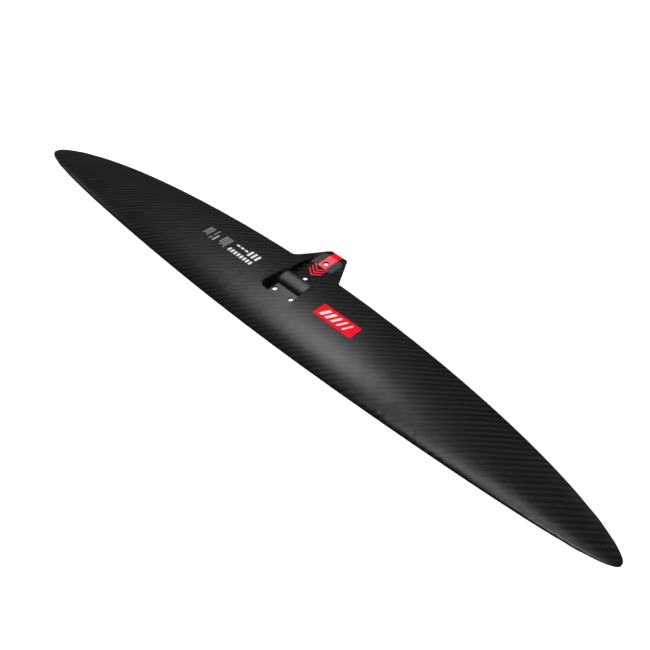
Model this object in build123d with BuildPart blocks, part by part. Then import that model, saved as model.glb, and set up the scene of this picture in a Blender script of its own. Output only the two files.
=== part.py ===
from build123d import *
import os
from math import sqrt, cos, pi

os.makedirs("parts", exist_ok=True)

# Front wing of a hydrofoil: a thin tapered carbon wing with a pocket in the middle
# that takes the nose of the fuselage, held by two screws side by side and two in line.
# Millimetres. Origin: centre of the front screw pair, on the pocket floor.
# +X to one tip, +Y towards the trailing edge (rear), +Z up.

# ---------------------------------------------------------------- wing
HALF_SPAN = 499.5            # half of the 999 mm span
ROOT_CHORD = 131.1           # chord on the centreline
SCREWS_BEHIND_MID = 7.0      # front screw pair behind the middle of the root chord
CHORD_ABOVE_FLOOR = 5.45     # root chord plane above the pocket floor
THICKNESS = 0.090            # section thickness over chord
CAMBER = 0.0150              # section camber over chord
TAIL_HALF = 0.35             # half thickness of the trailing edge at the root
SKIN = 1.30                  # laminate thickness of both shells
BOND = 0.10                  # bond line between the shells and what they cover
PART_GAP = 0.04              # half of the joint line between the two shells

# Spanwise curves: factors of u^0, u^2, u^4 and u^6, where u is 0 at the root and 1 at the tip
CHORD_CURVE = (ROOT_CHORD, -32.8, 33.9, -26.7)      # multiplied by an ellipse
MIDDLE_CURVE = (-SCREWS_BEHIND_MID, -20.0, 20.2, -15.2)
RISE_CURVE = (CHORD_ABOVE_FLOOR, 4.7, -35.8, 16.2)

# ---------------------------------------------------------------- lower opening and keel
SHAFT_HALF = 28.0            # half width of the opening in the lower shell
SHAFT_FRONT = -17.0          # front of that opening
SHAFT_CORNER = 6.0
KEEL_HALF = 38.0             # half width of the keel fairing
KEEL_FRONT = -53.0           # front of the keel fairing
BLOCK_GAP = 0.05             # clearance around the centre block and the rib
TAIL_GAP = 0.06              # clearance behind the trailing edge

# ---------------------------------------------------------------- pocket
FLOOR_HALF = 21.5            # half width of the pocket floor
FLOOR_FRONT = -9.7           # front of the pocket floor
FLOOR_CORNER = 8.0
LEDGE_HALF = 21.8            # half width where the pocket walls start to flare
LEDGE_FRONT = -9.9
LEDGE_REAR = 38.0
LEDGE_CORNER = 9.0
LEDGE_Y, LEDGE_Z = 1.8, 3.15 # a point on the sloping ledge line
LEDGE_SLOPE = 9.5            # degrees, rising towards the rear
MOUTH_HALF = 28.7            # half width of the flared mouth, at MOUTH_Z
MOUTH_FRONT = -17.8
MOUTH_REAR = 47.0
MOUTH_CORNER = 11.5
MOUTH_Z = 15.0

# ---------------------------------------------------------------- tongue
TONGUE_END = 105.25          # rear edge of the tongue
TONGUE_END_HALF = 14.7
TONGUE_ROOT_HALF = 41.2
TONGUE_ROOT_Y = 60.9
FACET_START = 55.0           # where the flat starts to narrow
FACET_END = 94.5             # rear end of the flat on the tongue
FACET_END_HALF = 16.8
FACET_LIMIT = 0.82           # most of the tongue width that the flat may take
TONGUE_DROP = 2.75           # drop of the rear chamfer
SHOULDER_HALF = 47.2         # half width of the block just behind the trailing edge
FLANK_START = 65.5           # where the straight flanks of the tongue begin
END_CORNER_LENGTH = 2.2      # rounded rear corners
END_CORNER_WIDTH = 2.0

# ---------------------------------------------------------------- screws and rib
HOLE_R = 3.5
HOLE_STRAIGHT = 2.5          # straight part of the screw hole below the floor
SINK_R = 5.9                 # countersink mouth radius on the underside
SINK_DEPTH = SINK_R - HOLE_R
SPACING_FRONT = 30.0
REAR_HOLES = (40.0, 79.0)
SCREWS = [(SPACING_FRONT / 2, 0), (-SPACING_FRONT / 2, 0)] + [(0, y) for y in REAR_HOLES]

RIB_FRONT = 11.0             # foot of the locating rib
RIB_REAR = 35.9
RIB_GROOVE = 0.5             # how deep its foot is set into the block
RIB_FOOT_GAP = 0.03
# (y, z) of a domed bar: steep in front, broad on top, rounding off behind
RIB_PROFILE = [
    (RIB_FRONT, 0), (11.25, 2.0), (11.9, 4.0), (13.2, 5.5), (15.2, 6.2), (17.5, 6.6), (20, 6.85),
    (23, 7.0), (26, 6.95), (29, 6.7), (31.6, 6.0), (33.8, 4.5), (35.2, 2.4), (RIB_REAR, 0),
]

# ---------------------------------------------------------------- printed films
PRINT = 0.12                 # thickness of printed films
PRINT_GAP = 0.03             # clearance under each film


# ================================================================ helpers
def across(x):
    return Plane(origin=(x, 0, 0), x_dir=(0, 1, 0), z_dir=(1, 0, 0))


def along(y):
    return Plane(origin=(0, y, 0), x_dir=(1, 0, 0), z_dir=(0, -1, 0))


def both_sides(values):
    """Mirror a list that starts at 0 to the negative side."""
    return [-value for value in reversed(values[1:])] + values


def spread(count):
    """Values from 0 to 1, closer together at both ends."""
    return [(1 - cos(pi * i / (count - 1))) / 2 for i in range(count)]


def crossing(is_past, low, high):
    """Bisect for the place where is_past turns true."""
    for _ in range(50):
        middle_value = (low + high) / 2
        if is_past(middle_value):
            high = middle_value
        else:
            low = middle_value
    return low


def front_rounded(half_width, front, rear, corner):
    """Draw a rectangle with rounded front corners in the open sketch."""
    with Locations((0, (front + rear) / 2)):
        Rectangle(2 * half_width, rear - front)
    fillet(vertices().group_by(Axis.Y)[0], corner)


def band_sections(stations, outline):
    """Sections between the top and bottom curves that outline(x) gives, ready to be lofted."""
    sections = []
    for x in stations:
        top, bottom = outline(x)
        with BuildSketch(across(x)) as profile:
            with BuildLine():
                Spline(*top)
                Line(top[-1], bottom[-1])
                Spline(*bottom)
                Line(bottom[0], top[0])
            make_face()
        sections += profile.sketch.faces()
    return sections


def mirrored(part):
    with BuildPart() as copy:
        mirror(part, about=Plane.YZ)
    return copy.part


def export(name, part):
    part.label = name
    export_step(part, f"parts/{name}.step")


# ================================================================ shape of the wing
# side is 1 for the upper surface and -1 for the lower one;
# share is the place along the chord, from 0 at the nose to 1 at the tail.
def span_curve(x, factors):
    span_share = abs(x) / HALF_SPAN
    return sum(factor * span_share ** (2 * i) for i, factor in enumerate(factors))


def chord(x):
    return sqrt(1 - (x / HALF_SPAN) ** 2) * span_curve(x, CHORD_CURVE)


def rise(x):
    return span_curve(x, RISE_CURVE)


def lead(x):
    return span_curve(x, MIDDLE_CURVE) - chord(x) / 2


def tail(x):
    return span_curve(x, MIDDLE_CURVE) + chord(x) / 2


def chord_share(x, y):
    return min(max((y - lead(x)) / chord(x), 0), 1)


def camber_z(x, share):
    return rise(x) + chord(x) * CAMBER * 4 * share * (1 - share)


def half_thickness(x, share):
    # four-digit section, with a blunt tail added
    section_half = 5 * THICKNESS * (0.2969 * sqrt(share) - 0.1260 * share - 0.3516 * share**2
                                    + 0.2843 * share**3 - 0.1015 * share**4)
    return chord(x) * section_half + TAIL_HALF * sqrt(chord(x) / ROOT_CHORD) * share * share


def outer(x, share, side):
    """Point (y, z) on the outside of the wing."""
    return (lead(x) + share * chord(x), camber_z(x, share) + side * half_thickness(x, share))


def inward(x, share, side, depth):
    """Point (y, z) under the surface, with the depth measured square to it."""
    step = 1e-4
    y_before, z_before = outer(x, max(share - step, 1e-7), side)
    y_after, z_after = outer(x, min(share + step, 1.0), side)
    run, climb = y_after - y_before, z_after - z_before
    length = sqrt(run * run + climb * climb)
    y, z = outer(x, share, side)
    return (y + side * depth * climb / length, z - side * depth * run / length)


def above_camber(x, share, side, depth):
    y, z = inward(x, share, side, depth)
    return side * (z - camber_z(x, chord_share(x, y)))


def ends(x, side, depth, gap):
    """Where the inner surface at this depth meets the joint line, front and rear."""
    front = crossing(lambda share: above_camber(x, share, side, depth) > gap, 1e-5, 0.30)
    rear = crossing(lambda share: above_camber(x, share, side, depth) <= gap, 0.45, 1.0)
    return front, rear


def inner_curve(x, side, depth, gap, count):
    front, rear = ends(x, side, depth, gap)
    return [inward(x, front + (rear - front) * share, side, depth) for share in spread(count)]


def inner_z(x, y, side, depth):
    """Height of the surface at this depth under the outside, at chordwise position y."""
    share = crossing(lambda share: inward(x, share, side, depth)[0] >= y, 1e-6, 1.0)
    return inward(x, share, side, depth)[1]


def surface_z(x, y, side):
    return outer(x, chord_share(x, y), side)[1]


def skin_depth(x):
    return min(SKIN, 0.34 * THICKNESS * chord(x))


# ================================================================ keel and tongue
FAIRING_END = 48.0           # the keel starts to turn into the tongue
JOIN_Y = 58.4                # the tongue has taken over from the keel

# (y, z): underside on the centreline, edge of the tongue, top of the tongue
BELLY = [(-53, 1.2), (-40, -0.4), (-26, -2.9), (-8, -4.5), (12, -4.85), (60, -4.85),
         (80, -4.7), (94, -4.4), (105.25, -3.75)]
EDGE = [(58.2, 5.1), (61, 3.6), (65, 2.4), (73, 1.15), (83, -0.05), (93, -1.25), (105.25, -2.75)]
CROWN = [(50, 8.2), (55, 7.0), (58.5, 5.9), (62, 4.7), (68, 2.6), (76, 0.9), (84, 0.12),
         (94, 0.02), (105.25, 0.0)]

KEEL_STATIONS = [KEEL_FRONT, -44, -34, -22, -8, 8, 24, 38, 48, 54, 58.5, 62, 66, 71, 77, 84, 91,
                 98, TONGUE_END + 0.2]
KEEL_XS = both_sides([0, 6, 12, 17, 21, 25, 29, 33, 37, 42, 47, 52])
KEEL_TOP = 25.0              # top of the raw block
TONGUE_STATIONS = [49 + 4.7 * i for i in range(12)] + [TONGUE_END + 0.4]


def smooth_height(points, y):
    """Smooth curve without overshoot through a short table of heights."""
    if y <= points[0][0]:
        return points[0][1]
    if y >= points[-1][0]:
        return points[-1][1]
    secants = [(z1 - z0) / (y1 - y0) for (y0, z0), (y1, z1) in zip(points, points[1:])]

    def slope(k):
        if k == 0:
            return secants[0]
        if k == len(points) - 1:
            return secants[-1]
        before, after = secants[k - 1], secants[k]
        return 0.0 if before * after <= 0 else 2 * before * after / (before + after)

    i = max(k for k in range(len(points) - 1) if points[k][0] <= y)
    (y0, z0), (y1, z1) = points[i], points[i + 1]
    width = y1 - y0
    t = (y - y0) / width
    return ((2 * t**3 - 3 * t**2 + 1) * z0 + (t**3 - 2 * t**2 + t) * slope(i) * width
            + (-2 * t**3 + 3 * t**2) * z1 + (t**3 - t**2) * slope(i + 1) * width)


def blend(y, start, end):
    t = min(max((y - start) / (end - start), 0), 1)
    return t * t * (3 - 2 * t)


def tongue_half(y):
    t = (y - TONGUE_ROOT_Y) / (TONGUE_END - TONGUE_ROOT_Y)
    return TONGUE_ROOT_HALF + (TONGUE_END_HALF - TONGUE_ROOT_HALF) * t


def facet_half(y):
    t = (y - FACET_START) / (FACET_END - FACET_START)
    return FLOOR_HALF + (FACET_END_HALF - FLOOR_HALF) * max(t, 0)


def limited_facet(y):
    return min(facet_half(y), FACET_LIMIT * tongue_half(y))


def chamfer_z(y):
    return -TONGUE_DROP * (y - FACET_END) / (TONGUE_END - FACET_END)


def belly(x, y):
    """Underside of the keel fairing and of the tongue behind it."""
    under_wing = surface_z(KEEL_HALF, min(y, 57.0), -1) - 0.25
    rim = smooth_height(EDGE, y) - 0.55 - 0.35 * blend(y, 58, 66)
    base = under_wing + (rim - under_wing) * blend(y, 52, JOIN_Y)
    tongue_width = tongue_half(max(y, JOIN_Y)) + 0.3
    width = KEEL_HALF + (tongue_width - KEEL_HALF) * blend(y, FAIRING_END, JOIN_Y)
    # the cross-section is a bulge that gets less boxy towards the tongue
    tongue_share = blend(y, FAIRING_END, 62)
    flatness, falloff = 4 - tongue_share, 2 - 0.5 * tongue_share
    bulge = max(0.0, 1 - (abs(x) / width) ** flatness) ** falloff
    return base + (smooth_height(BELLY, y) - base) * bulge


def tongue_top(x, y):
    """Flat in the middle, then sloping straight to the edge and beyond."""
    facet = limited_facet(y)
    crown, edge = smooth_height(CROWN, y), smooth_height(EDGE, y)
    if abs(x) <= facet:
        return crown
    return crown + (edge - crown) * (abs(x) - facet) / (tongue_half(y) - facet)


# ================================================================ cutting solids
COVER_STATIONS = (-70, -35, 0, 35, 70)


def make_over_lower():
    """Everything over the underside of the wing, except over the lower opening."""
    top = 40
    with BuildPart() as cover:
        for x in COVER_STATIONS:
            with BuildSketch(across(x)):
                with BuildLine():
                    surface = [outer(x, share, -1) for share in spread(22)]
                    low = [(y, z - BLOCK_GAP) for y, z in surface]
                    rear = low[-1][0] + TAIL_GAP
                    Spline(*low)
                    Polyline(low[-1], (rear, low[-1][1]), (rear, top), (low[0][0], top), low[0])
                make_face()
        loft()
        with BuildSketch(Plane.XY.offset(-30)):
            front_rounded(SHAFT_HALF, SHAFT_FRONT, 80, SHAFT_CORNER)
        extrude(amount=90, mode=Mode.SUBTRACT)
    return cover.part


def make_over_upper():
    """Everything over the underside of the upper shell."""
    top = 45
    with BuildPart() as cover:
        for x in COVER_STATIONS:
            with BuildSketch(across(x)):
                with BuildLine():
                    inner = inner_curve(x, 1, SKIN + BLOCK_GAP, 0.0, 20)
                    rear = tail(x) + TAIL_GAP
                    Spline(*inner)
                    Polyline(inner[-1], (rear, rise(x) - 0.02), (rear, top),
                             (inner[0][0], top), inner[0])
                make_face()
        loft()
    return cover.part


def make_pocket_mouth():
    """The flared mouth of the pocket, from the sloping ledge line up to the wing surface."""
    ledge_plane = Plane(origin=(0, LEDGE_Y, LEDGE_Z), x_dir=(1, 0, 0), z_dir=(0, 0, 1))
    with BuildPart() as mouth:
        with BuildSketch(ledge_plane.rotated((LEDGE_SLOPE, 0, 0))):
            front_rounded(LEDGE_HALF, LEDGE_FRONT - LEDGE_Y, LEDGE_REAR - LEDGE_Y, LEDGE_CORNER)
        with BuildSketch(Plane.XY.offset(MOUTH_Z)):
            front_rounded(MOUTH_HALF, MOUTH_FRONT, MOUTH_REAR, MOUTH_CORNER)
        loft(ruled=True)
    return mouth.part


def make_pocket_well():
    """The straight-walled pocket floor, open to the rear and narrowing along the tongue."""
    rear = 120
    with BuildPart() as well:
        with BuildSketch(Plane.XY):
            with BuildLine():
                Polyline((-FLOOR_HALF, FLOOR_FRONT), (FLOOR_HALF, FLOOR_FRONT),
                         (FLOOR_HALF, FACET_START), (facet_half(rear), rear),
                         (-facet_half(rear), rear), (-FLOOR_HALF, FACET_START),
                         (-FLOOR_HALF, FLOOR_FRONT))
            make_face()
            fillet(vertices().group_by(Axis.Y)[0], FLOOR_CORNER)
        extrude(amount=30)
    return well.part


def make_tongue_cover():
    """Everything over the top of the tongue."""
    top = 50
    with BuildPart() as cover:
        for y in TONGUE_STATIONS:
            with BuildSketch(along(y)):
                with BuildLine():
                    facet = limited_facet(y)
                    xs = [0, 0.5 * facet, 0.93 * facet] + [facet + v for v in (1.5, 5, 10, 18, 38)]
                    low = [(x, tongue_top(x, y)) for x in both_sides(xs)]
                    Spline(*low)
                    Polyline(low[-1], (low[-1][0], top), (low[0][0], top), low[0])
                make_face()
        loft()
    return cover.part


# ================================================================ shells
HALF_STATIONS = [0, 60, 120, 180, 235, 285, 330, 368, 400, 427, 449, 466, 479, 488, 494, 497.4,
                 0.9988 * HALF_SPAN]
FULL_STATIONS = both_sides(HALF_STATIONS)


def draw_skin(x, side):
    """Draw the outline of one shell at x in the open line builder."""
    gap = min(PART_GAP, 0.12 * THICKNESS * chord(x))
    outside = [outer(x, share, side) for share in spread(22)]
    outside[0] = (lead(x), rise(x) + side * gap)
    inside = inner_curve(x, side, skin_depth(x), gap, 18)
    Spline(*outside)
    Polyline(outside[-1], (tail(x), rise(x) + side * gap), inside[-1])
    Spline(*inside)
    Line(inside[0], outside[0])


def make_upper_skin(pocket_mouth, pocket_well):
    with BuildPart() as skin:
        for x in FULL_STATIONS:
            with BuildSketch(across(x)):
                with BuildLine():
                    draw_skin(x, 1)
                make_face()
        loft()
        add(pocket_mouth, mode=Mode.SUBTRACT)
        add(pocket_well, mode=Mode.SUBTRACT)
    return skin.part


def make_lower_skin():
    with BuildPart() as skin:
        for x in FULL_STATIONS:
            with BuildSketch(across(x)):
                with BuildLine():
                    draw_skin(x, -1)
                make_face()
        loft()
        with BuildSketch(Plane.XY.offset(-20)):
            front_rounded(SHAFT_HALF + BLOCK_GAP, SHAFT_FRONT - BLOCK_GAP, 90,
                          SHAFT_CORNER + BLOCK_GAP)
        extrude(amount=50, mode=Mode.SUBTRACT)
    return skin.part


# ================================================================ centre block and rib
def draw_block_plan():
    """Draw the block seen from above in the open line builder: keel, shoulders and tongue."""
    shoulder_y = tail(SHOULDER_HALF)
    shoulder = [(KEEL_HALF, KEEL_FRONT), (KEEL_HALF, tail(KEEL_HALF) + TAIL_GAP),
                (SHOULDER_HALF, shoulder_y + TAIL_GAP), (SHOULDER_HALF, shoulder_y + 0.42)]
    shoulder_left = [(-x, y) for x, y in reversed(shoulder)]
    flank_x = tongue_half(FLANK_START)
    corner_y = TONGUE_END - END_CORNER_LENGTH
    corner_x = tongue_half(corner_y)
    end_x = TONGUE_END_HALF - END_CORNER_WIDTH
    narrowing = TONGUE_END_HALF - TONGUE_ROOT_HALF
    length = TONGUE_END - TONGUE_ROOT_Y

    Line((-KEEL_HALF, KEEL_FRONT), (KEEL_HALF, KEEL_FRONT))
    Polyline(*shoulder)
    Spline(shoulder[-1], (flank_x, FLANK_START), tangents=((-1, 0.05), (narrowing, length)))
    Line((flank_x, FLANK_START), (corner_x, corner_y))
    Spline((corner_x, corner_y), (end_x, TONGUE_END), tangents=((narrowing, length), (-1, 0)))
    Line((end_x, TONGUE_END), (-end_x, TONGUE_END))
    Spline((-end_x, TONGUE_END), (-corner_x, corner_y), tangents=((-1, 0), (narrowing, -length)))
    Line((-corner_x, corner_y), (-flank_x, FLANK_START))
    Spline((-flank_x, FLANK_START), shoulder_left[0],
           tangents=((narrowing, -length), (-1, -0.05)))
    Polyline(*shoulder_left)


def at_screws(z):
    return Locations(*[(x, y, z) for x, y in SCREWS])


def make_centre_block(cutters):
    with BuildPart() as block:
        for y in KEEL_STATIONS:
            with BuildSketch(along(y)):
                with BuildLine():
                    low = [(x, belly(x, y)) for x in KEEL_XS]
                    Spline(*low)
                    Polyline(low[-1], (KEEL_XS[-1], KEEL_TOP), (KEEL_XS[0], KEEL_TOP), low[0])
                make_face()
        loft()
        with BuildSketch(Plane.XY.offset(-20)):
            with BuildLine():
                draw_block_plan()
            make_face()
        extrude(amount=60, mode=Mode.INTERSECT)
        for cutter in cutters:
            add(cutter, mode=Mode.SUBTRACT)
        # rear chamfer of the tongue
        past_end = TONGUE_END + 3
        with BuildSketch(Plane.YZ):
            with BuildLine():
                Polyline((FACET_END, 0), (past_end, chamfer_z(past_end)), (past_end, 6),
                         (FACET_END, 6), (FACET_END, 0))
            make_face()
        extrude(amount=40, both=True, mode=Mode.SUBTRACT)
        # screw holes, countersunk from below
        with at_screws(-10):
            Cylinder(HOLE_R, 40, mode=Mode.SUBTRACT)
        with at_screws(-HOLE_STRAIGHT - SINK_DEPTH / 2):
            Cone(SINK_R, HOLE_R, SINK_DEPTH, mode=Mode.SUBTRACT)
        with at_screws(-HOLE_STRAIGHT - SINK_DEPTH - 5):
            Cylinder(SINK_R, 10, mode=Mode.SUBTRACT)
        # a shallow groove for the rib, wall to wall, which parts the front land from the rear one
        with Locations((0, (RIB_FRONT + RIB_REAR) / 2, 0)):
            Box(2 * FLOOR_HALF, RIB_REAR - RIB_FRONT + 2 * BLOCK_GAP, 2 * RIB_GROOVE,
                mode=Mode.SUBTRACT)
    return block.part


def make_locating_rib():
    foot_z = RIB_FOOT_GAP - RIB_GROOVE
    with BuildPart() as rib:
        with BuildSketch(Plane.YZ):
            with BuildLine():
                Spline(*RIB_PROFILE, tangents=((0.1, 1), (0.25, -1)))
                Polyline(RIB_PROFILE[-1], (RIB_REAR, foot_z), (RIB_FRONT, foot_z), RIB_PROFILE[0])
            make_face()
        extrude(amount=FLOOR_HALF - BLOCK_GAP, both=True)
    return rib.part


# ================================================================ inside the wing
CAP = 1.1                    # greatest thickness of a spar cap
CAP_SHARE = 0.22             # a cap takes no more than this share of the hollow
WEB_GAP = 0.06               # between the spar web and each cap
CORE_END = 440               # where the tip filler takes over

CORE_STATIONS = [0.08, *HALF_STATIONS[1:10], CORE_END]
SPAR_STATIONS = both_sides([0, *CORE_STATIONS[1:]])
REAR_STATIONS = [SHAFT_HALF + 0.3, 80, *HALF_STATIONS[2:10], CORE_END]
TIP_STATIONS = [CORE_END + 0.3, 449, 458, 466, 473, 479, 484]


def roof(x, y):
    return inner_z(x, y, 1, skin_depth(x) + BOND)


def ground(x, y):
    return inner_z(x, y, -1, skin_depth(x) + BOND)


def cap_thickness(x, y):
    return min(CAP, CAP_SHARE * (roof(x, y) - ground(x, y)))


def cap_under(x, y):
    return roof(x, y) - cap_thickness(x, y)


def cap_over(x, y):
    return ground(x, y) + cap_thickness(x, y)


def web_top(x, y):
    return cap_under(x, y) - WEB_GAP


def web_bottom(x, y):
    return cap_over(x, y) + WEB_GAP


# Start and end are counted along the hollow, from 0 at its nose to 1 at its tail.
# name, stations, start, end, top, bottom, points per curve
SPAR_CAPS = [
    ("spar_cap_upper", SPAR_STATIONS, 0.270, 0.380, roof, cap_under, 7),
    ("spar_cap_lower", SPAR_STATIONS, 0.270, 0.380, cap_over, ground, 7),
]
# the same columns; each piece is built at +X and mirrored to -X
PAIRED_FILLINGS = [
    ("nose_filler", CORE_STATIONS, 0.006, 0.060, roof, ground, 7),
    ("front_core", CORE_STATIONS, 0.062, 0.268, roof, ground, 9),
    ("spar_web", CORE_STATIONS, 0.272, 0.378, web_top, web_bottom, 7),
    ("rear_core", REAR_STATIONS, 0.383, 0.900, roof, ground, 13),
    ("tail_filler", REAR_STATIONS, 0.903, 0.985, roof, ground, 7),
    ("tip_filler", TIP_STATIONS, 0.02, 0.97, roof, ground, 13),
]


def make_filling(stations, start, end, top, bottom, count):
    """A piece in the hollow between the shells."""
    def outline(x):
        depth = skin_depth(x) + BOND
        limits = [[inward(x, share, side, depth)[0] for share in ends(x, side, depth, 0.0)]
                  for side in (1, -1)]
        nose = max(front for front, _ in limits)
        hollow = min(rear for _, rear in limits) - nose
        ys = [nose + hollow * (start + (end - start) * i / (count - 1)) for i in range(count)]
        return [(y, top(x, y)) for y in ys], [(y, bottom(x, y)) for y in ys]

    with BuildPart() as filling:
        loft(band_sections(stations, outline))
    return filling.part


# ================================================================ printed films
BADGE_X0, BADGE_X1, BADGE_Y0, BADGE_Y1 = 59.3, 121.2, -4.8, 17.1
BADGE_MID_X = (BADGE_X0 + BADGE_X1) / 2
BADGE_MID_Y = (BADGE_Y0 + BADGE_Y1) / 2
BADGE_STATIONS = [BADGE_X0, 80, 100, BADGE_X1]
BAR_COUNT, BAR_PITCH = 5, 9.6
BAR_FIRST = -25.0            # front left corner of the first bar from the badge middle
BAR_WIDTH, BAR_NARROWING = 5.2, 0.7
BAR_HALF_HEIGHT, BAR_SLANT = 6.5, 6.0

# centre x of the first block, centre y, width, length, pitch towards -X, count
SPEC_ROWS = [(-62.6, 14.3, 3.6, 11.0, 7.0, 3), (-84.4, 14.3, 5.2, 2.6, 8.0, 3),
             (-62.8, 1.2, 3.2, 6.4, 5.8, 8)]
SPEC_BLOCKS = [(first_x - pitch * i, y, width, length)
               for first_x, y, width, length, pitch, count in SPEC_ROWS for i in range(count)]
# centre x, centre y, width, length
SPEC_LINES = [
    (-113.5, 6.8, 1.2, 20.0), (-117.3, 8.2, 1.2, 17.0), (-121.1, 7.4, 1.2, 18.4),
    (-124.9, 9.2, 1.2, 15.0), (-134.8, 3.2, 2.6, 12.6), (-141.0, 11.2, 1.2, 11.0),
    (-141.0, -0.6, 1.2, 6.0), (-148.4, 7.0, 1.2, 16.4), (-152.2, 8.2, 1.2, 14.0),
    (-156.0, 7.2, 1.2, 16.0),
]

STRIPE_HALF = 7.2
STRIPE_FRONT = 70.6
STRIPE_REAR = TONGUE_END - 0.6
STRIPE_HOLE_MARGIN = 0.7

CHEVRON_HALF = 11.0
CHEVRON_YS = (53.0, 58.6, 64.2)
CHEVRON_TIP, CHEVRON_FOOT, CHEVRON_BAND = -3.2, 5.2, 2.2


def film_sections(stations, y_front, y_rear, low, count):
    """Sections of a thin strip that lies on the upper surface, raised by low."""
    ys = [y_front + (y_rear - y_front) * i / (count - 1) for i in range(count)]

    def outline(x):
        return ([(y, surface_z(x, y, 1) + low + PRINT) for y in ys],
                [(y, surface_z(x, y, 1) + low) for y in ys])

    return band_sections(stations, outline)


def make_badge_panel():
    with BuildPart() as panel:
        loft(film_sections(BADGE_STATIONS, BADGE_Y0, BADGE_Y1, PRINT_GAP, 9))
    return panel.part


def make_badge_mark():
    """Five slanted bars of decreasing width, over the badge panel."""
    front, rear = BADGE_MID_Y - BAR_HALF_HEIGHT, BADGE_MID_Y + BAR_HALF_HEIGHT
    with BuildPart() as mark:
        loft(film_sections(BADGE_STATIONS, BADGE_Y0, BADGE_Y1, 2 * PRINT_GAP + PRINT, 9))
        with BuildSketch(Plane.XY.offset(-10)):
            for i in range(BAR_COUNT):
                width = BAR_WIDTH - BAR_NARROWING * i
                x = BADGE_MID_X + BAR_FIRST + BAR_PITCH * i
                with BuildLine():
                    Polyline((x, front), (x + width, front), (x + width + BAR_SLANT, rear),
                             (x + BAR_SLANT, rear), (x, front))
                make_face()
        extrude(amount=40, mode=Mode.INTERSECT)
    return mark.part


def make_print(stations, y_front, y_rear, rectangles):
    """Rectangles cut from a film on the upper surface."""
    with BuildPart() as blocks:
        loft(film_sections(stations, y_front, y_rear, PRINT_GAP, 11))
        with BuildSketch(Plane.XY.offset(-10)):
            for x, y, width, length in rectangles:
                with Locations((x, y)):
                    Rectangle(width, length)
        extrude(amount=40, mode=Mode.INTERSECT)
    return blocks.part


def make_tongue_stripe():
    """The stripe lies on the flat, folds over the rear chamfer and clears the rear screw."""
    low, high = PRINT_GAP, PRINT_GAP + PRINT
    fold = FACET_END + 0.02
    end_drop = chamfer_z(STRIPE_REAR)
    with BuildPart() as stripe:
        with BuildSketch(Plane.YZ):
            with BuildLine():
                Polyline((STRIPE_FRONT, low), (fold, low), (STRIPE_REAR, low + end_drop),
                         (STRIPE_REAR, high + end_drop), (fold, high), (STRIPE_FRONT, high),
                         (STRIPE_FRONT, low))
            make_face()
        extrude(amount=STRIPE_HALF, both=True)
        with Locations((0, REAR_HOLES[1], 0)):
            Cylinder(HOLE_R + STRIPE_HOLE_MARGIN, 6, mode=Mode.SUBTRACT)
    return stripe.part


def make_tongue_emblem():
    """Three chevrons that point forward."""
    with BuildPart() as emblem:
        with BuildSketch(Plane.XY.offset(PRINT_GAP)):
            for y in CHEVRON_YS:
                tip, foot = y + CHEVRON_TIP, y + CHEVRON_FOOT
                with BuildLine():
                    Polyline((-CHEVRON_HALF, foot), (0, tip), (CHEVRON_HALF, foot),
                             (CHEVRON_HALF, foot + CHEVRON_BAND), (0, tip + CHEVRON_BAND),
                             (-CHEVRON_HALF, foot + CHEVRON_BAND), (-CHEVRON_HALF, foot))
                make_face()
        extrude(amount=PRINT)
    return emblem.part


# ================================================================ build and export
pocket_mouth = make_pocket_mouth()
pocket_well = make_pocket_well()
block_cutters = (make_over_upper(), make_over_lower(), make_tongue_cover(),
                 pocket_mouth, pocket_well)

export("upper_skin", make_upper_skin(pocket_mouth, pocket_well))
export("lower_skin", make_lower_skin())
export("centre_block", make_centre_block(block_cutters))
export("locating_rib", make_locating_rib())

for name, *shape in SPAR_CAPS:
    export(name, make_filling(*shape))
for name, *shape in PAIRED_FILLINGS:
    right = make_filling(*shape)
    export(f"{name}_right", right)
    export(f"{name}_left", mirrored(right))

export("badge_panel", make_badge_panel())
export("badge_mark", make_badge_mark())
export("spec_blocks", make_print([-108, -95, -78, -58], -4.0, 20.5, SPEC_BLOCKS))
export("spec_lines", make_print([-162, -145, -128, -108], -5.0, 18.5, SPEC_LINES))
export("tongue_stripe", make_tongue_stripe())
export("tongue_emblem", make_tongue_emblem())
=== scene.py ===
"""Carbon sandwich part: twill skins and a ribbed centre block over foam cores and tows.

The span lies along X with the block around x = 0, and the upper face looks to +Z.
The pieces come from the CAD; this script adds materials, floor, light and camera. Metres.
"""
import bpy
import bmesh
from math import cos, sin, pi
from mathutils import Matrix, Vector

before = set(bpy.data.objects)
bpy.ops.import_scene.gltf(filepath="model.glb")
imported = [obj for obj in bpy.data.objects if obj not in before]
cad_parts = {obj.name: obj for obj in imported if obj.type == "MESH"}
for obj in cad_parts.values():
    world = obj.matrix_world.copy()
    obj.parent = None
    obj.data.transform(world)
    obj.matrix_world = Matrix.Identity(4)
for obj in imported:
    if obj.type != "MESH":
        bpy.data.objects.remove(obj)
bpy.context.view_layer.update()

BLACK = (0, 0, 0, 1)
WHITE = (1, 1, 1, 1)


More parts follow.
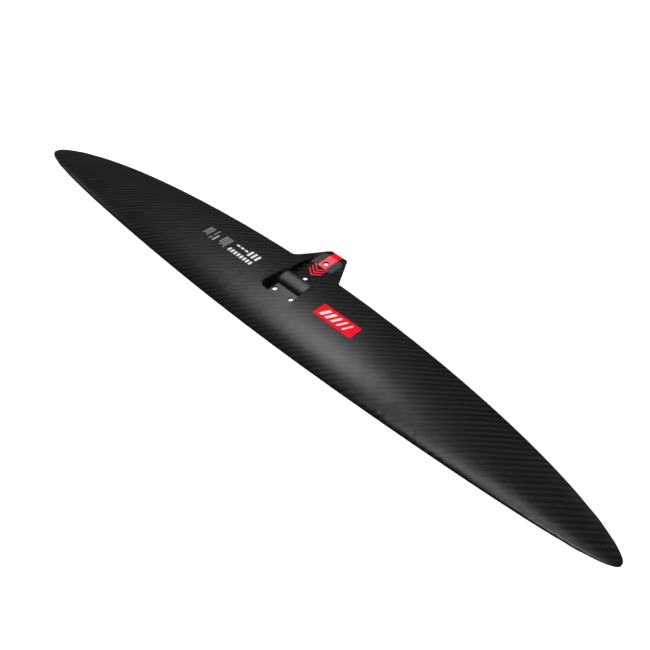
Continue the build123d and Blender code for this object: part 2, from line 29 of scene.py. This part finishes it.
# ------------------------------------------------------------------ node helpers
class Graph:
    """Builds shader nodes in the node tree of a material or world."""

    def __init__(self, owner):
        owner.use_nodes = True
        self.owner = owner
        self.tree = owner.node_tree
        self.tree.nodes.clear()

    def node(self, kind, inputs=None, **settings):
        """Add a node; each input is a socket to link, a value to set, or None to leave alone."""
        node = self.tree.nodes.new("ShaderNode" + kind)
        for name, value in settings.items():
            setattr(node, name, value)
        for key, value in (inputs or {}).items():
            if isinstance(value, bpy.types.NodeSocket):
                self.tree.links.new(value, node.inputs[key])
            elif value is not None:
                node.inputs[key].default_value = value
        return node

    def finish(self, shader, output="OutputMaterial"):
        self.node(output, {0: shader})
        return self.owner

    def math(self, operation, a, b=0.0, clamp=False):
        return self.node("Math", {0: a, 1: b}, operation=operation, use_clamp=clamp).outputs[0]

    def vmath(self, operation, a, b=(0, 0, 0)):
        node = self.node("VectorMath", {0: a, 1: b}, operation=operation)
        return node.outputs["Value" if operation == "DOT_PRODUCT" else 0]

    def times(self, a, b):
        return self.math("MULTIPLY", a, b)

    def gain(self, value, gain, start, clamp=False):
        """start + gain * value"""
        return self.math("ADD", start, self.times(value, gain), clamp)

    def fade(self, value, gain, start=1.0, clamp=False):
        """start - gain * value"""
        return self.math("SUBTRACT", start, self.times(value, gain), clamp)

    def vary(self, noise, spread, mean=1.0):
        """Turn 0..1 noise into a value spread evenly about the mean."""
        return self.gain(noise, spread, start=mean - spread / 2)

    def invert(self, value):
        return self.math("SUBTRACT", 1.0, value)

    def choose(self, mask, a, b):
        """a where the mask is 1, b where it is 0"""
        return self.math("ADD", self.times(mask, a), self.times(self.invert(mask), b))

    def step(self, value, low, high):
        """0 under low, 1 over high, smooth between"""
        return self.node("MapRange", {0: value, 1: low, 2: high},
                         interpolation_type="SMOOTHSTEP").outputs[0]

    def position(self):
        return self.node("TexCoord").outputs["Object"]

    def normal(self):
        return self.node("NewGeometry").outputs["Normal"]

    def split(self, vector):
        return self.node("SeparateXYZ", {0: vector}).outputs

    def combine(self, x=None, y=None):
        return self.node("CombineXYZ", {0: x, 1: y}).outputs[0]

    def stretch(self, vector, scale):
        return self.node("Mapping", {"Vector": vector, "Scale": scale}).outputs[0]

    def noise(self, vector, scale, detail=2.0):
        return self.node("TexNoise", {"Vector": vector, "Scale": scale,
                                      "Detail": detail}).outputs[0]

    def colour(self, red, green, blue):
        return self.node("CombineColor", {0: red, 1: green, 2: blue}).outputs[0]

    def mix(self, factor, a, b):
        return self.node("Mix", {0: factor, 6: a, 7: b}, data_type="RGBA").outputs[2]

    def mix_shader(self, factor, a, b):
        return self.node("MixShader", {0: factor, 1: a, 2: b}).outputs[0]

    def bump(self, height, strength, distance, normal=None):
        return self.node("Bump", {"Strength": strength, "Distance": distance,
                                  "Height": height, "Normal": normal}).outputs[0]

    def edge_wear_and_highlight(self, width):
        """1 along sharp edges, 0 on flats"""
        bevel = self.node("Bevel", {"Radius": width}, samples=2).outputs[0]
        facing = self.vmath("DOT_PRODUCT", bevel, self.normal())
        return self.math("SUBTRACT", 1.0, facing, clamp=True)

    def principled(self, inputs):
        return self.node("BsdfPrincipled", inputs).outputs[0]


def material(name):
    return Graph(bpy.data.materials.new(name))


# ------------------------------------------------------------------ carbon twill
TOW_WIDTH = 0.00247
TWILL_REPEAT = 4.0        # tows in one repeat of the weave
WARP_ON_TOP = 1.5         # the first two tows of each repeat show the tow along Y
CLOTH_BASE = 0.0168       # mean albedo
CLOTH_CONTRAST = 0.66     # brightness swing between the two tow directions
CLOTH_ROUGH = 0.265
CLOTH_SPECULAR = 0.5
CLOTH_BLUE = 1.04         # blue channel against red and green
WANDER = 0.004            # how far the hand-laid cloth drifts
WANDER_Y = 0.6            # share of the drift taken along Y
RIB_FREQ = 120.0          # streak frequency across the 45 degree ribs
ALONG_FREQ = 11.0         # streak frequency along them
FIBRE_FINE, FIBRE_LONG = 9000, 300   # noise scale across and along a tow
BLOCK_HALF = 0.0300       # half width in X of the zone whose walls get painted shade


def pocket_wall_shade(m, x):
    """1 on steep faces near x = 0 that don't look down: the mask for the painted shade on the
    pocket walls
    """
    normal_z = m.split(m.normal())[2]
    wall_shade = m.invert(m.step(normal_z, low=0.45, high=0.80))
    wall_shade = m.times(wall_shade, m.step(normal_z, low=-0.3, high=-0.1))
    inside = m.math("LESS_THAN", m.math("ABSOLUTE", x), BLOCK_HALF)
    return m.times(wall_shade, inside)


def seat_normal(m, y):
    """Lean the level faces: towards -Y on the low-Y side of the rib, towards +Y beyond it."""
    lean_low, lean_high = -0.045, 0.135
    level_z = 0.985       # faces with a normal steeper than this count as level
    normal = m.normal()
    level = m.math("GREATER_THAN", m.split(normal)[2], level_z)
    low_side = m.invert(m.step(y, low=0.011, high=0.013))
    high_side = m.times(m.step(y, low=0.030, high=0.034),
                        m.invert(m.step(y, low=0.0665, high=0.0715)))
    lean = m.gain(high_side, lean_high, start=m.times(low_side, lean_low))
    lean = m.times(lean, level)
    return m.vmath("NORMALIZE", m.vmath("ADD", normal, m.combine(y=lean)))


def carbon(name, seat=False):
    """Clear-coated 2x2 twill: tows along X and Y, ribs running at 45 degrees.

    seat adds painted shade on the pocket walls and leaning shading normals on the level faces of
    the centre block.
    """
    m = material(name)
    place = m.position()
    x, y, _ = m.split(place)

    # Weave: tow number and place across the tow, in each direction
    drift = m.times(m.math("SUBTRACT", m.noise(place, scale=9.0, detail=1.0), 0.5), WANDER)
    u = m.math("DIVIDE", m.math("ADD", x, drift), TOW_WIDTH)
    v = m.math("DIVIDE", m.fade(drift, WANDER_Y, start=y), TOW_WIDTH)
    diagonal = m.math("SUBTRACT", m.math("FLOOR", u), m.math("FLOOR", v))
    phase = m.math("FLOORED_MODULO", diagonal, TWILL_REPEAT)
    warp = m.math("LESS_THAN", phase, WARP_ON_TOP)   # 1 where the tow along Y is on top
    hump_u, hump_v = [m.math("SINE", m.times(m.math("FRACT", across), pi))
                      for across in (u, v)]
    height = m.choose(warp, hump_u, hump_v)

    # Brightness: single fibres, broad patches, and ribs that catch more or less light
    fibre = m.choose(warp,
                     m.noise(m.stretch(place, (FIBRE_FINE, FIBRE_LONG, 1)), scale=1.0),
                     m.noise(m.stretch(place, (FIBRE_LONG, FIBRE_FINE, 1)), scale=1.0))
    patch = m.noise(place, scale=14.0, detail=3.0)
    rib_place = m.combine(m.times(m.math("SUBTRACT", x, y), RIB_FREQ),
                          m.times(m.math("ADD", x, y), ALONG_FREQ))
    streak = m.noise(rib_place, scale=1.0)
    level = m.vary(warp, spread=2 * CLOTH_CONTRAST)
    for noise, spread in ((streak, 1.5), (patch, 0.28), (fibre, 0.20)):
        level = m.times(level, m.vary(noise, spread))
    # Painted highlight with some wear: sharp edges are lightened, standing in for the thin
    # highlight along the rims
    level = m.gain(m.edge_wear_and_highlight(width=0.0006), gain=1.6, start=level)
    value = m.times(level, CLOTH_BASE)

    # Painted shade: the base colour darkens where a face is seen almost edge-on, drawing a dark
    # rim round the outline; the specular level drops there too
    edge_on_shade = m.step(m.node("LayerWeight").outputs["Facing"], low=0.72, high=0.95)
    value = m.times(value, m.fade(edge_on_shade, gain=0.7))
    shine = m.fade(edge_on_shade, gain=0.42, start=CLOTH_SPECULAR)
    normal = None
    if seat:
        # Painted shade: the steep pocket walls get a darker base colour and less specular,
        # deepening the shade in the pocket
        wall_shade = pocket_wall_shade(m, x)
        value = m.times(value, m.fade(wall_shade, gain=0.65))
        shine = m.fade(wall_shade, gain=0.32, start=shine, clamp=True)
        normal = seat_normal(m, y)

    return m.finish(m.principled({
        "Base Color": m.colour(value, value, m.times(value, CLOTH_BLUE)),
        "Specular IOR Level": shine,
        "Roughness": m.vary(patch, spread=0.012, mean=CLOTH_ROUGH),
        "IOR": 1.53,
        "Normal": m.bump(height, strength=0.03, distance=0.00003, normal=normal),
    }))


# ------------------------------------------------------------------ other materials
def moulded(name):
    """Resin-rich laminate with no cloth showing: faint mottling and fine surface grain."""
    base = 0.036                  # mean albedo
    flatten = (1.0, 0.50, 1.0)    # eases the crown in Y so light rolls over it slowly
    lean = (0.0, -0.034, 0.0)     # tips the crown towards -Y
    m = material(name)
    place = m.position()
    mottle = m.noise(place, scale=45.0, detail=4.0)
    grain = m.noise(place, scale=900.0)
    # Painted highlight with some wear: sharp edges are lightened
    level = m.gain(m.edge_wear_and_highlight(width=0.0005), gain=1.2, start=m.vary(mottle, spread=0.36))
    value = m.times(level, base)
    eased = m.vmath("MULTIPLY", m.normal(), flatten)
    normal = m.vmath("NORMALIZE", m.vmath("ADD", eased, lean))
    return m.finish(m.principled({
        "Base Color": m.colour(value, value, value),
        "Roughness": m.vary(mottle, spread=0.06, mean=0.255),
        "Normal": m.bump(grain, strength=0.15, distance=0.00003, normal=normal),
    }))


def printed(name, colour, glow, flat_sheen=None):
    """Opaque ink under clear coat, thin in places, with the cloth just reading through.

    The last argument gives the colour for the flat part of the print, below STRIPE_BREAK in y;
    it is paler, a painted sheen where the flat faces the light.
    """
    rib_pitch = 0.0054
    m = material(name)
    place = m.position()
    x, y, _ = m.split(place)
    blotch = m.noise(place, scale=160.0, detail=3.0)
    grain = m.noise(place, scale=1200.0)
    turn = m.math("FRACT", m.math("DIVIDE", m.math("SUBTRACT", x, y), rib_pitch))
    rib = m.math("SINE", m.times(turn, 2 * pi))
    thin = m.gain(rib, gain=0.02, start=m.times(blotch, 0.16), clamp=True)
    thin = m.gain(m.edge_wear_and_highlight(width=0.0002), gain=0.3, start=thin, clamp=True)
    full = (*colour, 1)
    # Painted sheen: the flat part of the print gets a paler colour where it faces the light
    if flat_sheen is not None:
        flat = m.invert(m.step(y, STRIPE_BREAK - BREAK_BLUR, STRIPE_BREAK + BREAK_BLUR))
        full = m.mix(flat, full, (*flat_sheen, 1))
    dark = m.mix(0.22, full, BLACK)
    ink = m.mix(thin, full, dark)
    return m.finish(m.principled({
        "Base Color": ink,
        # Painted light: the ink glows by its own emission, so the print reads bright whatever
        # the lamps do
        "Emission Color": ink,
        "Emission Strength": glow,
        "Roughness": m.gain(grain, gain=0.05, start=0.42),
        "Specular IOR Level": 0.12,
        "Normal": m.bump(grain, strength=0.1, distance=0.00002),
    }))


def foam(name):
    """Pale closed-cell foam."""
    m = material(name)
    place = m.position()
    cells = m.node("TexVoronoi", {"Vector": place, "Scale": 900.0}).outputs[0]
    blotch = m.noise(place, scale=60.0, detail=3.0)
    tint = m.gain(blotch, gain=0.3, start=m.times(cells, 0.5), clamp=True)
    return m.finish(m.principled({
        "Base Color": m.mix(tint, (0.62, 0.57, 0.43, 1), (0.78, 0.74, 0.62, 1)),
        "Roughness": m.gain(blotch, gain=0.15, start=0.8),
        "Normal": m.bump(cells, strength=0.6, distance=0.0003),
    }))


def tow(name):
    """Unidirectional carbon: fine streaks along X, the span."""
    m = material(name)
    streak = m.noise(m.stretch(m.position(), (14, 2600, 2600)), scale=1.0, detail=3.0)
    return m.finish(m.principled({
        "Base Color": m.mix(streak, (0.012, 0.012, 0.013, 1), (0.05, 0.05, 0.053, 1)),
        "Roughness": m.gain(streak, gain=0.2, start=0.45),
        "Normal": m.bump(streak, strength=0.3, distance=0.0001),
    }))


STRIPE_BREAK = 0.0945     # y where the tongue stripe leaves the flat
BREAK_BLUR = 0.0006       # half width of the colour change there

shell_mat = carbon("shell_twill")
block_mat = carbon("block_twill", seat=True)
rib_mat = moulded("rib_laminate")
# The glow values are emission strengths: painted light that keeps the prints bright
red = printed("red_ink", (0.90, 0.001, 0.016), glow=0.80)
white = printed("white_ink", (0.88, 0.88, 0.87), glow=0.62)
fine_white = printed("fine_white_ink", (0.50, 0.50, 0.50), glow=0.45)
stripe_red = printed("stripe_ink", (0.90, 0.001, 0.006), glow=0.80, flat_sheen=(0.92, 0.085, 0.13))
emblem_red = printed("emblem_ink", (0.90, 0.03, 0.055), glow=0.70)
foam_mat = foam("cell_foam")
tow_mat = tow("tow_streaks")

LOOKS = {
    "upper_skin": shell_mat,
    "lower_skin": shell_mat,
    "centre_block": block_mat,
    "locating_rib": rib_mat,
    "badge_panel": red,
    "badge_mark": white,
    "spec_blocks": white,
    "spec_lines": fine_white,
    "tongue_stripe": stripe_red,
    "tongue_emblem": emblem_red,
}
for name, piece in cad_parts.items():
    inner = foam_mat if "core" in name or "web" in name else tow_mat
    piece.data.materials.clear()
    piece.data.materials.append(LOOKS.get(name, inner))


# ------------------------------------------------------------------ floor
FLOOR_RADIUS = 30.0
FLOOR_Z = -0.60
FLOOR_SIDES = 64


def floor_paint():
    """Near white to the camera, mid grey to other rays, and clear from below."""
    m = material("floor_paint")
    bright = m.principled({
        "Base Color": (0.9, 0.9, 0.9, 1),
        "Roughness": 0.9,
        "Emission Color": WHITE,
        "Emission Strength": 0.95,
    })
    matt = m.node("BsdfDiffuse", {"Color": (0.38, 0.38, 0.38, 1)}).outputs[0]
    top = m.mix_shader(m.node("LightPath").outputs["Is Camera Ray"], matt, bright)
    below = m.node("NewGeometry").outputs["Backfacing"]
    return m.finish(m.mix_shader(below, top, m.node("BsdfTransparent").outputs[0]))


def add_floor():
    mesh = bpy.data.meshes.new("floor")
    bm = bmesh.new()
    angles = [2 * pi * i / FLOOR_SIDES for i in range(FLOOR_SIDES)]
    bm.faces.new([bm.verts.new((FLOOR_RADIUS * cos(a), FLOOR_RADIUS * sin(a), FLOOR_Z))
                  for a in angles])
    bm.to_mesh(mesh)
    bm.free()
    floor = bpy.data.objects.new("floor", mesh)
    bpy.context.scene.collection.objects.link(floor)
    mesh.materials.append(floor_paint())


add_floor()

# ------------------------------------------------------------------ soft studio light
# Broad glows around the room: direction towards the glow, strength
GLOWS = [
    ((-0.459, 0.451, 0.765), 7.021),
    ((-0.463, 0.347, 0.815), 5.250),
    ((0.037, 0.239, 0.970), 3.699),
    ((-0.146, 0.153, 0.977), 1.207),
    ((-0.174, -0.019, 0.985), 2.190),
    ((-0.028, 0.143, 0.989), 0.399),
    ((-0.348, 0.403, 0.846), 0.565),
    ((0.222, -0.015, 0.975), 3.617),
    ((-0.859, -0.032, 0.511), 1.548),
    ((0.076, 0.834, 0.546), 1.535),
    ((-0.220, -0.100, 0.970), 1.284),
    ((-0.220, 0.080, 0.972), 1.140),
    ((-0.220, 0.240, 0.946), 1.174),
    ((-0.140, 0.080, 0.987), 3.100),
    ((-0.140, 0.240, 0.961), 0.039),
    ((-0.060, 0.240, 0.969), 1.830),
    ((0.020, -0.100, 0.995), 0.255),
    ((0.100, -0.100, 0.990), 2.235),
    ((0.180, -0.100, 0.979), 9.446),
]
GLOW_TIGHTNESS = 300.0    # higher makes every glow smaller
AMBIENT = 0.0848          # even light from all round


def glow(w, ray, direction, strength):
    """strength * exp(tightness * (cos(angle) - 1))"""
    cosine = w.vmath("DOT_PRODUCT", ray, Vector(direction).normalized())
    falloff = w.times(w.math("SUBTRACT", cosine, 1.0), GLOW_TIGHTNESS)
    return w.times(w.math("EXPONENT", falloff), strength)


def studio():
    """The glows light the pieces; the camera itself sees plain white."""
    w = Graph(bpy.data.worlds.new("studio"))
    ray = w.node("TexCoord").outputs["Generated"]
    total, *others = [glow(w, ray, *entry) for entry in GLOWS]
    for other in others:
        total = w.math("ADD", total, other)
    total = w.math("ADD", total, AMBIENT)
    lit, plain = [w.node("Background", {"Color": c}).outputs[0] for c in (total, WHITE)]
    seen = w.node("LightPath").outputs["Is Camera Ray"]
    return w.finish(w.mix_shader(seen, lit, plain), output="OutputWorld")


scene = bpy.context.scene
scene.world = studio()
scene.view_settings.view_transform = "Standard"
scene.view_settings.look = "None"
scene.view_settings.exposure = 0.0
scene.view_settings.gamma = 1.0

# ------------------------------------------------------------------ camera
CAMERA_PLACE = Vector((0.535381, -0.465374, 0.696646))
CAMERA_AXES = (
    Vector((0.71402, 0.70011, -0.00349)),      # right
    Vector((-0.50943, 0.52296, 0.68337)),      # up
    Vector((0.48026, -0.48617, 0.73006)),      # back, away from the view
)
lens = bpy.data.cameras.new("camera")
lens.sensor_width = 36.0
lens.lens = 42.8953846
lens.clip_start = 0.01
lens.clip_end = 100.0
camera = bpy.data.objects.new("camera", lens)
turned = Matrix(CAMERA_AXES).transposed().to_4x4()
camera.matrix_world = Matrix.Translation(CAMERA_PLACE) @ turned
scene.collection.objects.link(camera)
scene.camera = camera
